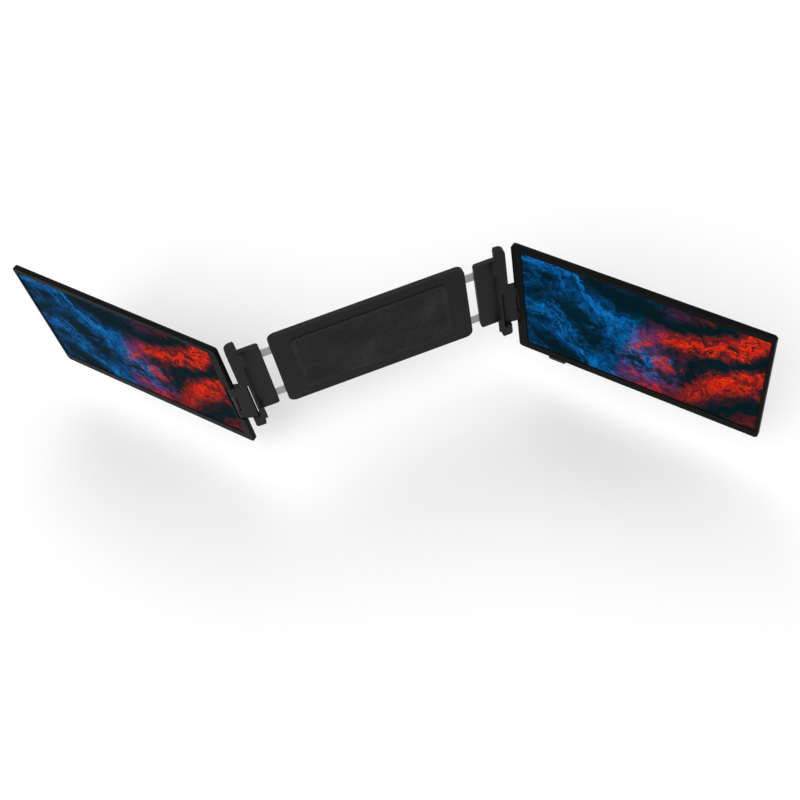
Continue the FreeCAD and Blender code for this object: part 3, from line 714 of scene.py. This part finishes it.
class Finishes:
    """Every finish, each made once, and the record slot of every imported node."""

    def __init__(self) -> None:
        """Make the materials and read the record's slots."""
        self.by_slot = {slot: recipe.build() for slot, recipe in SLOT_FINISHES.items()}
        self.gold = CONTACT_GOLD.build()
        self.paint = MARK_PAINT.build()
        self.slot_of = {part["node"]: Slot(part["material_slot"]) for part in RECORD["subparts"]}

    def dress(self, piece: Piece, material: Material) -> None:
        """Put one material on the whole of a piece.

        Args:
            piece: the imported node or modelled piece.
            material: its finish.
        """
        if not piece.material_slots:
            piece.data.materials.append(material)
        for slot in piece.material_slots:
            slot.material = material


class Bench:
    """Makes and finishes meshes with Blender's own operators."""

    @staticmethod
    def clear() -> None:
        """Leave nothing selected."""
        if bpy.context.object and bpy.context.object.mode != "OBJECT":
            bpy.ops.object.mode_set(mode="OBJECT")
        bpy.ops.object.select_all(action="DESELECT")

    @classmethod
    def pick(cls, *pieces: Piece) -> None:
        """Select these pieces, the first one active.

        Args:
            pieces: the pieces.
        """
        cls.clear()
        for piece in pieces:
            piece.select_set(True)
        bpy.context.view_layer.objects.active = pieces[0]

    @classmethod
    def settle(cls, piece: Piece) -> None:
        """Write a piece's place, turn and scale into its mesh."""
        cls.pick(piece)
        bpy.ops.object.transform_apply(location=True, rotation=True, scale=True)

    @classmethod
    def block(cls, name: str, low: Point, high: Point) -> Piece:
        """A box between two corners.

        Args:
            name: the piece's name.
            low: its lowest corner.
            high: its highest corner.

        Returns:
            The box, with its place in its mesh.
        """
        cls.clear()
        middle = [(a + b) / 2 for a, b in zip(low, high)]
        bpy.ops.mesh.primitive_cube_add(size=1.0, location=middle)
        piece = bpy.context.object
        piece.name = name
        piece.scale = [b - a for a, b in zip(low, high)]
        cls.settle(piece)
        return piece

    @classmethod
    def rod(
        cls, name: str, radius: float, start: Point, axis: Vector, length: float, sides: int = 32
    ) -> Piece:
        """A cylinder from a centre point along an axis.

        Args:
            name: the piece's name.
            radius: its radius.
            start: the middle of its first end.
            axis: the way it runs.
            length: how long it is.
            sides: how many sides it has.

        Returns:
            The cylinder, with its place in its mesh.
        """
        cls.clear()
        middle = Vector(start) + axis.normalized() * (length / 2)
        bpy.ops.mesh.primitive_cylinder_add(vertices=sides, radius=radius, depth=length, location=middle)
        piece = bpy.context.object
        piece.name = name
        piece.rotation_euler = axis.to_track_quat("Z", "Y").to_euler()
        cls.settle(piece)
        return piece

    @classmethod
    def modify(cls, piece: Piece, kind: str, **settings: Any) -> None:
        """Apply one modifier.

        Args:
            piece: the piece.
            kind: the modifier's type.
            settings: the modifier's settings.
        """
        cls.pick(piece)
        modifier = piece.modifiers.new(kind.lower(), kind)
        for name, setting in settings.items():
            setattr(modifier, name, setting)
        bpy.ops.object.modifier_apply(modifier=modifier.name)

    @classmethod
    def round_edges(cls, piece: Piece, width: float, segments: int = 3) -> None:
        """Round every sharp edge by a width, in a number of segments."""
        size = {"width": width, "segments": segments}
        cls.modify(piece, "BEVEL", limit_method="ANGLE", angle_limit=SHARP, **size)

    @classmethod
    def cut(cls, piece: Piece, tools: Iterable[Piece]) -> None:
        """Take other pieces out of a piece, and remove them.

        Args:
            piece: the piece that stays.
            tools: the pieces that are taken out.
        """
        for tool in tools:
            cls.modify(piece, "BOOLEAN", operation="DIFFERENCE", solver="EXACT", object=tool)
            bpy.data.objects.remove(tool, do_unlink=True)

    @classmethod
    def repeat(cls, piece: Piece, count: int, step: Point) -> None:
        """Make a row of copies of a piece, a fixed step apart."""
        offset = {"use_relative_offset": False, "use_constant_offset": True, "constant_offset_displace": step}
        cls.modify(piece, "ARRAY", count=count, **offset)

    @classmethod
    def join(cls, name: str, pieces: Sequence[Piece]) -> Piece:
        """One piece out of several.

        Args:
            name: the whole's name.
            pieces: the pieces, of which the first keeps its mesh.

        Returns:
            The whole.
        """
        cls.pick(*pieces)
        bpy.ops.object.join()
        pieces[0].name = name
        return pieces[0]

    @classmethod
    def carry(cls, piece: Piece, place: Matrix) -> Piece:
        """Move a piece from a drawing to the model, and turn its faces outwards again.

        Args:
            piece: the piece.
            place: the matrix from the drawing to the model.

        Returns:
            The same piece.
        """
        piece.matrix_world = place
        cls.settle(piece)
        bpy.ops.object.mode_set(mode="EDIT")
        bpy.ops.mesh.select_all(action="SELECT")
        bpy.ops.mesh.normals_make_consistent(inside=False)
        bpy.ops.object.mode_set(mode="OBJECT")
        return piece

    @classmethod
    def choose(cls, piece: Piece, mode: str) -> None:
        """Deselect every element of a mesh, ready for a choice in object mode.

        Args:
            piece: the piece.
            mode: FACE or EDGE.
        """
        cls.pick(piece)
        bpy.ops.object.mode_set(mode="EDIT")
        bpy.ops.mesh.select_mode(type=mode)
        bpy.ops.mesh.select_all(action="DESELECT")
        bpy.ops.object.mode_set(mode="OBJECT")

    @classmethod
    def shade(cls, piece: Piece) -> None:
        """Smooth shading that keeps sharp edges sharp."""
        cls.pick(piece)
        bpy.ops.object.shade_smooth_by_angle(angle=SHARP)


@dataclass(frozen=True)
class CrossScrew:
    """A small flat-headed screw with a cross recess.

    Attributes:
        arm_width: width of the recess's arms.
        arm_length: length of the recess from tip to tip.
        recess: depth of the recess.
        first_lean: turn of the first screw's recess, in degrees.
        next_lean: how much further each next recess is turned, in degrees.
    """

    head_radius: float = 0.0018
    head_height: float = 0.001
    shank_radius: float = 0.001
    arm_width: float = 0.00042
    arm_length: float = 0.0021
    recess: float = 0.0006
    rounding: float = 0.00014
    first_lean: float = 20.0
    next_lean: float = 37.0
    shank_sides: int = 24

    def places(self, node: str) -> list[tuple[Vector, Vector]]:
        """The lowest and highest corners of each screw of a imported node.

        Args:
            node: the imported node, whose screws are loose from each other.

        Returns:
            The corners, screw by screw.
        """
        mesh = frame["nodes"][node].data
        owner = list(range(len(mesh.vertices)))

        def root(index: int) -> int:
            """Follow a vertex to the one that stands for its screw.

            Args:
                index: the vertex.

            Returns:
                The vertex that stands for its screw.
            """
            while owner[index] != index:
                owner[index] = owner[owner[index]]
                index = owner[index]
            return index

        micrometres = 1e6
        same: dict[tuple[int, ...], int] = {}
        for vertex in mesh.vertices:
            key = tuple(round(value * micrometres) for value in vertex.co)
            owner[root(vertex.index)] = root(same.setdefault(key, vertex.index))
        for edge in mesh.edges:
            owner[root(edge.vertices[0])] = root(edge.vertices[1])
        groups: dict[int, list[Vector]] = {}
        for vertex in mesh.vertices:
            groups.setdefault(root(vertex.index), []).append(vertex.co)
        corners = []
        for points in groups.values():
            low = Vector([min(point[axis] for point in points) for axis in range(3)])
            high = Vector([max(point[axis] for point in points) for axis in range(3)])
            corners.append((low, high))
        return sorted(corners, key=lambda pair: tuple(pair[0]))

    def span(self, low: Vector, high: Vector, outwards: Vector) -> float:
        """How long a screw is along its own axis, from its box's corners and the way its head looks."""
        side = math.sqrt(max(0.0, 1.0 - outwards.y**2))
        return ((high.y - low.y) - 2 * self.head_radius * side) / abs(outwards.y)

    def cutters(self, face: Matrix, lean: float) -> list[Piece]:
        """The two bars that cut a cross into a head.

        Args:
            face: the matrix of the head's outer face, whose Y looks outwards.
            lean: the turn of the cross, in degrees.

        Returns:
            The bars.
        """
        half = (self.arm_width / 2, self.recess, self.arm_length / 2)
        bars = []
        for quarter in (0.0, 90.0):
            bar = Bench.block("recess", [-value for value in half], half)
            bars.append(Bench.carry(bar, face @ Matrix.Rotation(math.radians(lean + quarter), 4, "Y")))
        return bars

    def build(self, node: str, turn: float) -> Piece:
        """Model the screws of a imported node, in the place of its plain ones.

        Args:
            node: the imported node.
            turn: how far the way that their heads look is turned from +Y about Z, in degrees.

        Returns:
            The screws as one piece.
        """
        outwards = Matrix.Rotation(math.radians(turn), 3, "Z") @ Vector((0.0, 1.0, 0.0))
        sideways = outwards.cross(Vector((0.0, 0.0, 1.0)))
        looks = Matrix((sideways, outwards, (0.0, 0.0, 1.0))).transposed().to_4x4()
        made = []
        for number, (low, high) in enumerate(self.places(node)):
            middle = (low + high) / 2
            length = self.span(low, high, outwards)
            top = middle + outwards * (length / 2)
            start = top - outwards * self.head_height
            head = Bench.rod(f"{node}_head_{number}", self.head_radius, start, outwards, self.head_height)
            Bench.round_edges(head, self.rounding)
            lean = self.first_lean + self.next_lean * number
            Bench.cut(head, self.cutters(Matrix.Translation(top) @ looks, lean))
            start = middle - outwards * (length / 2)
            reach = length - self.head_height
            name = f"{node}_shank_{number}"
            shank = Bench.rod(name, self.shank_radius, start, outwards, reach, self.shank_sides)
            made += [head, shank]
        piece = Bench.join(f"{node}_cross", made)
        Bench.shade(piece)
        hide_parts(node)
        return piece


@dataclass
class SubAssembly:
    """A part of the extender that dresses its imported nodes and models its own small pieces.

    Attributes:
        finishes: the finishes that it takes.
        notes: a line on each of its pieces, once they are made.
    """

    finishes: Finishes
    notes: list[str] = field(default_factory=list, init=False)

    def dress_bodies(self, *bodies: str) -> None:
        """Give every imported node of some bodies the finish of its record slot.

        Args:
            bodies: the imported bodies' names.
        """
        for body in bodies:
            for node in RECORD["behaviour"]["bodies"][body]:
                slot = self.finishes.slot_of[node]
                if slot in self.finishes.by_slot:
                    self.finishes.dress(frame["nodes"][node], self.finishes.by_slot[slot])
                    self.notes.append(f"{node} takes {slot.value}")

    def hand_over(
        self, piece: Piece, body: str, slot: Slot, material: Optional[Material] = None
    ) -> None:
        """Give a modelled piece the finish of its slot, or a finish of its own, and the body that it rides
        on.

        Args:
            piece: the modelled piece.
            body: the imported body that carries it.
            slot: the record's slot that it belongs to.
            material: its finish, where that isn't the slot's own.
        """
        self.finishes.dress(piece, material or self.finishes.by_slot[slot])
        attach(piece, body)
        self.notes.append(f"{piece.name} rides on {body}, {len(piece.data.polygons)} faces")


@dataclass
class CentrePlate(SubAssembly):
    """The plate that carries both arms, with its ribbed pad and its screws.

    Attributes:
        rim: width of the pad's plain rim.
        dip: how far the ribbed field lies below the rim.
        rib_end: distance of a rib's ends from the rim.
        rib_margin: distance of the first and last rib from the rim.
        rib_below: how far a rib's crest lies below the rim.
        rib_root: how far a rib reaches into the field's floor.
        forward: the most that Y of a normal may be on a face that looks forward.
    """

    corner: float = 0.008
    corner_steps: int = 8
    rim: float = 0.005
    dip: float = 0.00055
    rounding: float = 0.00022
    ribs: int = 22
    rib_width: float = 0.0019
    rib_rounding: float = 0.00036
    rib_end: float = 0.0016
    rib_margin: float = 0.0022
    rib_below: float = 0.00008
    rib_root: float = 0.0002
    forward: float = -0.9

    def build(self) -> None:
        """Dress the plate, and model its pad and its screws."""
        self.dress_bodies("centre")
        self.hand_over(self.pad(), "centre", Slot.RUBBER)
        self.hand_over(CrossScrew().build("centre_screws", 0.0), "centre", Slot.DARK_STEEL)

    def pad(self) -> Piece:
        """The soft pad, in the place of its plain node.

        Returns:
            The pad with its ribs.
        """
        low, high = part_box("centre_lid_pad")
        pad = Bench.block("lid_pad", tuple(low), tuple(high))
        Bench.choose(pad, "EDGE")
        for edge in pad.data.edges:
            first, second = (pad.data.vertices[index].co for index in edge.vertices)
            edge.select = abs(first.y - second.y) > (high.y - low.y) / 2
        bpy.ops.object.mode_set(mode="EDIT")
        bpy.ops.mesh.bevel(offset=self.corner, segments=self.corner_steps, affect="EDGES")
        Bench.choose(pad, "FACE")
        for face in pad.data.polygons:
            face.select = face.normal.y < self.forward
        bpy.ops.object.mode_set(mode="EDIT")
        bpy.ops.mesh.inset(thickness=self.rim, depth=0.0)
        bpy.ops.mesh.inset(thickness=self.dip, depth=-self.dip)
        bpy.ops.object.mode_set(mode="OBJECT")
        Bench.round_edges(pad, self.rounding, 2)
        whole = Bench.join("lid_pad", [pad, self.rib_row(low, high)])
        Bench.shade(whole)
        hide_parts("centre_lid_pad")
        return whole

    def rib_row(self, low: Vector, high: Vector) -> Piece:
        """The ribs of the pad's field.

        Args:
            low: the pad's lowest corner.
            high: the pad's highest corner.

        Returns:
            The ribs as one piece.
        """
        end = self.rim + self.rib_end
        margin = self.rim + self.rib_margin
        first = low.z + margin
        step = (high.z - low.z - 2 * margin - self.rib_width) / (self.ribs - 1)
        rib = Bench.block(
            "rib",
            (low.x + end, low.y + self.rib_below, first),
            (high.x - end, low.y + self.dip + self.rib_root, first + self.rib_width),
        )
        Bench.round_edges(rib, self.rib_rounding)
        Bench.repeat(rib, self.ribs, (0.0, 0.0, step))
        return rib


@dataclass
class Kickstand(SubAssembly):
    """The folding leg behind the centre plate."""

    def build(self) -> None:
        """Dress the leg, its bushes and its foot."""
        self.dress_bodies("stand")


@dataclass
class SideArm(SubAssembly):
    """One sliding arm with its hooks, rails and liners."""

    side: Side

    def build(self) -> None:
        """Dress the arm."""
        self.dress_bodies(f"{self.side.value}_arm")


@dataclass
class HingeBlock(SubAssembly):
    """One block between an arm and a wing, with its screws.

    Attributes:
        turn: how far its back is turned from +Y about Z, in degrees.
    """

    side: Side
    turn: float

    def build(self) -> None:
        """Dress the block, and model its screws."""
        name = f"{self.side.value}_block"
        self.dress_bodies(name)
        self.hand_over(CrossScrew().build(f"{name}_screws", self.turn), name, Slot.DARK_STEEL)


@dataclass
class ScreenWing(SubAssembly):
    """One screen wing with its picture, window trim, socket contacts and key marks.

    Attributes:
        front: y of the bezel's front face on the wing's drawing.
        glass: y of the display's front face.
        bottom: z of the wing's lower edge.
        lip: width of the trim at the window's edge.
        lip_below: how far the trim lies below the bezel's face.
        sockets: x, strip pitch, strip count and half the tongue's thickness of each socket.
        strip_proud: how far a strip stands out of the tongue, and how far it reaches in.
        strip_rise: start and end of a strip above the lower edge.
        mark_root: how far a mark reaches into the key.
        mark_proud: how far a mark stands out of the key.
        bar: half the length and half the width of a mark's bar.
        ring: outer and inner radius of the power mark's ring.
        ring_gap: half the width of the ring's gap, and its start and end above the key's middle.
        ring_bar: the same sizes of the bar in the gap.
    """

    place: WingPlace
    area: LitArea
    front: float = -0.00355
    glass: float = -0.00255
    bottom: float = -0.1135
    lip: float = 0.0006
    lip_below: float = 0.0003
    lip_gap: float = 0.00002
    lip_rounding: float = 0.00022
    port_y: float = -0.0002
    sockets: tuple[tuple[float, float, int, float], ...] = (
        (0.084, 0.0005, 12, 0.00035),
        (0.100, 0.0005, 12, 0.00035),
        (0.118, 0.0007, 10, 0.0003),
    )
    strip_half: float = 0.00011
    strip_proud: float = 0.00003
    strip_rise: tuple[float, float] = (0.002, 0.0052)
    keys: tuple[float, ...] = (0.272, 0.284, 0.296)
    key_z: float = -0.0915
    key_face: float = 0.00385
    mark_root: float = 0.00006
    mark_proud: float = 0.00004
    bar: tuple[float, float] = (0.0011, 0.00013)
    ring: tuple[float, float] = (0.0012, 0.00096)
    ring_sides: int = 48
    ring_gap: Point = (0.00045, 0.0003, 0.002)
    ring_bar: Point = (0.00012, 0.0002, 0.0015)

    def build(self) -> None:
        """Dress the wing and its keys, light the display and model the small pieces."""
        name = self.place.side.value
        wing = f"{name}_wing"
        joints = RECORD["behaviour"]["joints"]
        self.dress_bodies(wing, *[joint["child"] for joint in joints if joint["parent"] == wing])
        picture = Picture(f"{name}_picture", self.place, self.area).build()
        self.finishes.dress(frame["nodes"][f"{name}_display_panel"], picture)
        self.notes.append(f"{name}_display_panel is lit")
        self.hand_over(self.trim(f"{name}_window_trim"), wing, Slot.BEZEL)
        self.hand_over(self.contacts(f"{name}_socket_contacts"), wing, Slot.PORT, self.finishes.gold)
        marks = tuple(Mark) if self.place.side is Side.LEFT else (Mark.POWER,)
        for mark, x in zip(marks, self.keys):
            piece = Bench.join(f"{name}_{mark.value}_mark", self.mark_bars(mark, x))
            Bench.carry(piece, self.place.to_model())
            self.hand_over(piece, f"{name}_{mark.value}_button", Slot.KEY, self.finishes.paint)

    def trim(self, name: str) -> Piece:
        """A narrow rounded lip between the bezel and the glass.

        Args:
            name: the piece's name.

        Returns:
            The lip.
        """
        low = (self.area.near, self.area.low)
        high = (self.area.near + self.area.length, self.area.low + self.area.height)
        lip = self.lip
        y = (self.front + self.lip_below, self.glass - self.lip_gap)
        outer = Bench.block(name, (low[0], y[0], low[1]), (high[0], y[1], high[1]))
        window = Bench.block(
            "window",
            (low[0] + lip, self.front - OVERSHOOT, low[1] + lip),
            (high[0] - lip, self.glass + OVERSHOOT, high[1] - lip),
        )
        Bench.cut(outer, [window])
        Bench.round_edges(outer, self.lip_rounding, 2)
        Bench.shade(Bench.carry(outer, self.place.to_model()))
        return outer

    def contacts(self, name: str) -> Piece:
        """Rows of contact strips on both faces of the sockets' tongues.

        Args:
            name: the piece's name.

        Returns:
            The strips as one piece.
        """
        rows = []
        for middle, pitch, count, half in self.sockets:
            x = middle - pitch * (count - 1) / 2
            for y in (self.port_y - half, self.port_y + half):
                low = (x - self.strip_half, y - self.strip_proud, self.bottom + self.strip_rise[0])
                high = (x + self.strip_half, y + self.strip_proud, self.bottom + self.strip_rise[1])
                rows.append(Bench.block("strip", low, high))
                Bench.repeat(rows[-1], count, (pitch, 0.0, 0.0))
        return Bench.carry(Bench.join(name, rows), self.place.to_model())

    def mark_bars(self, mark: Mark, x: float) -> list[Piece]:
        """The raised pieces of one key's mark: a broken ring with a bar, a plus or a minus.

        Args:
            mark: which mark.
            x: the key's place on the wing's drawing.

        Returns:
            The pieces, on the wing's drawing.
        """
        low = self.key_face - self.mark_root
        high = self.key_face + self.mark_proud
        z = self.key_z
        if mark is Mark.POWER:
            back = Vector((0, 1, 0))
            start = low - OVERSHOOT
            ring = Bench.rod("ring", self.ring[0], (x, low, z), back, high - low, self.ring_sides)
            hole = Bench.rod("hole", self.ring[1], (x, start, z), back, 3 * OVERSHOOT, self.ring_sides)
            half, foot, top = self.ring_gap
            gap = Bench.block("gap", (x - half, start, z + foot), (x + half, high + OVERSHOOT, z + top))
            Bench.cut(ring, [hole, gap])
            half, foot, top = self.ring_bar
            return [ring, Bench.block("bar", (x - half, low, z + foot), (x + half, high, z + top))]
        long, thin = self.bar
        bars = [Bench.block("bar", (x - long, low, z - thin), (x + long, high, z + thin))]
        if mark is Mark.PLUS:
            bars.append(Bench.block("bar", (x - thin, low, z - long), (x + thin, high - FINE, z + long)))
        return bars


@dataclass(frozen=True)
class Lamp:
    """One soft square light, with its power in watts."""

    name: str
    place: Point
    aim: Point
    size: float
    power: float


@dataclass(frozen=True)
class Studio:
    """The floor, the surroundings, the soft lights and the camera.

    Attributes:
        floor_z: height of the floor, which the kickstand reaches at its full swing.
        soft: strength of the light from all round.
        lens: the camera's focal length in mm, as its sensor is.
        turn: the camera's turn about X, Y and Z, in degrees.
    """

    lamps: tuple[Lamp, ...] = (
        Lamp("key", (-1.2, -1.4, 2.0), (-0.1, -0.05, 0.0), 1.4, 24.0),
        Lamp("fill", (1.8, -0.9, 1.5), (0.1, -0.05, 0.0), 1.8, 6.0),
        Lamp("back", (0.2, 1.9, 1.7), (0.0, 0.0, 0.0), 1.6, 14.0),
    )
    floor_z: float = -0.1745
    floor_side: float = 12.0
    soft: float = 0.85
    lens: float = 51.82
    sensor: float = 36.0
    clip: tuple[float, float] = (0.01, 50.0)
    eye: Point = (-0.10682, -0.8902, 1.1055)
    turn: Point = (34.8705, 8.1640, -19.0986)

    def build(self) -> None:
        """Make the whole studio."""
        self.floor()
        self.surroundings()
        for lamp in self.lamps:
            self.light(lamp)
        self.camera()
        bpy.context.scene.view_settings.view_transform = "Standard"

    def floor(self) -> None:
        """A large pale floor."""
        Bench.clear()
        bpy.ops.mesh.primitive_plane_add(size=self.floor_side, location=(0.0, 0.0, self.floor_z))
        floor = bpy.context.object
        floor.name = "studio_floor"
        Bench.settle(floor)
        floor.data.materials.append(Floor("studio_floor").build())

    def surroundings(self) -> None:
        """White where the camera and reflections look, and a softer light elsewhere."""
        graph = Graph(bpy.data.worlds.new("studio_world"))
        soft = graph.node("ShaderNodeBackground", {"Color": WHITE, "Strength": self.soft})
        white = graph.node("ShaderNodeBackground", {"Color": WHITE, "Strength": 1.0})
        mixed = graph.node("ShaderNodeMixShader", {0: graph.looked_at(), 1: soft, 2: white})
        bpy.context.scene.world = graph.close(mixed, "ShaderNodeOutputWorld")

    def light(self, lamp: Lamp) -> None:
        """Hang one square area light.

        Args:
            lamp: its place, aim, size and power.
        """
        data = bpy.data.lights.new(lamp.name, "AREA")
        data.shape = "SQUARE"
        data.size = lamp.size
        data.energy = lamp.power
        light = bpy.data.objects.new(lamp.name, data)
        light.location = lamp.place
        light.rotation_euler = (Vector(lamp.aim) - Vector(lamp.place)).to_track_quat("-Z", "Y").to_euler()
        bpy.context.scene.collection.objects.link(light)

    def camera(self) -> None:
        """The camera at the photograph's view."""
        data = bpy.data.cameras.new("studio_camera")
        data.lens = self.lens
        data.sensor_width = self.sensor
        data.clip_start, data.clip_end = self.clip
        eye = bpy.data.objects.new("studio_camera", data)
        eye.location = self.eye
        eye.rotation_euler = [math.radians(angle) for angle in self.turn]
        bpy.context.scene.collection.objects.link(eye)
        bpy.context.scene.camera = eye


def main() -> None:
    """Build the studio, then every sub-assembly in order."""
    logging.basicConfig(level=logging.INFO, format="%(message)s")
    Studio().build()
    finishes = Finishes()
    area = LitArea()
    assemblies = [
        CentrePlate(finishes),
        Kickstand(finishes),
        SideArm(finishes, Side.LEFT),
        SideArm(finishes, Side.RIGHT),
        HingeBlock(finishes, Side.LEFT, -17.4),
        HingeBlock(finishes, Side.RIGHT, -6.7),
        ScreenWing(finishes, WingPlace(Side.LEFT, (0.188349, 0.002162), -49.6, 0.006, 0.0), area),
        ScreenWing(finishes, WingPlace(Side.RIGHT, (0.189673, -0.00097), 51.2, 0.0005, 0.0035), area),
    ]
    for assembly in assemblies:
        assembly.build()
        for note in assembly.notes:
            LOG.info("%s: %s", type(assembly).__name__, note)
    LOG.info("scene ready")


if __name__ == "__main__":
    main()
